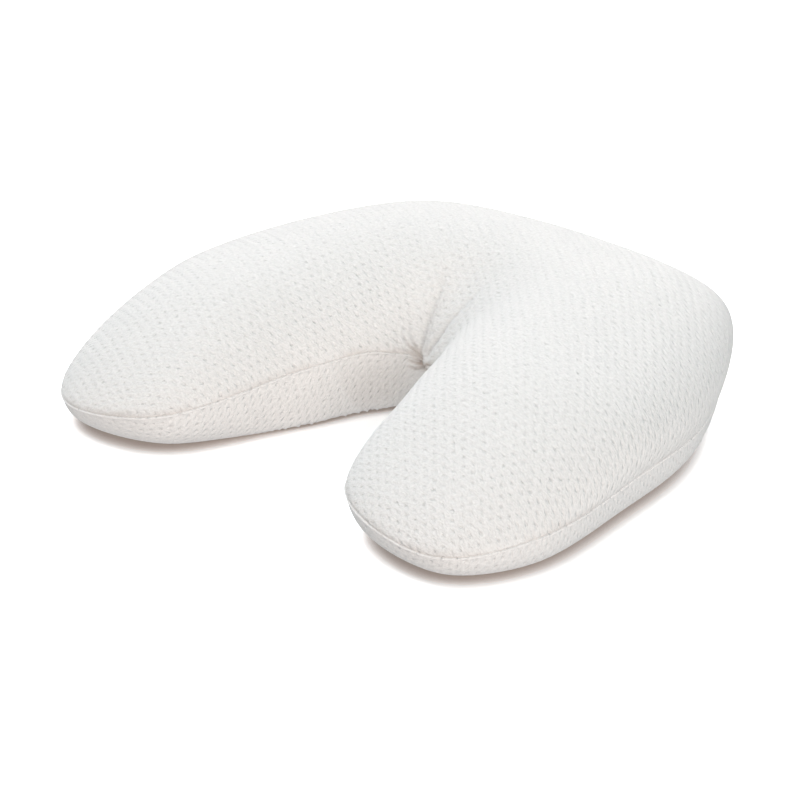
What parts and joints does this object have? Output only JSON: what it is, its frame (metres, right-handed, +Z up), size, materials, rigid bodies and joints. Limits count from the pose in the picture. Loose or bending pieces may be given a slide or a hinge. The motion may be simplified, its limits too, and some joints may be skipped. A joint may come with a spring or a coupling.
{
  "type": "travel pillow",
  "caption": "Filled U-shaped travel pillow in dimpled white knit, high at the back and low at the arm tips, with one seam all round.",
  "frame": {"origin": "on the floor under the middle of the pillow's outer box, with the pillow lying on its flat underside", "axes": "+Z up through the crown, +Y towards the back of the U, -Y out of the neck gap, +X to the right arm"},
  "size_m": [0.3106, 0.27, 0.079],
  "materials": {
    "cover_knit": "matt dimpled knit"
  },
  "bodies": {
    "root": {"pillow": "cover_knit"}
  },
  "joints": []
}
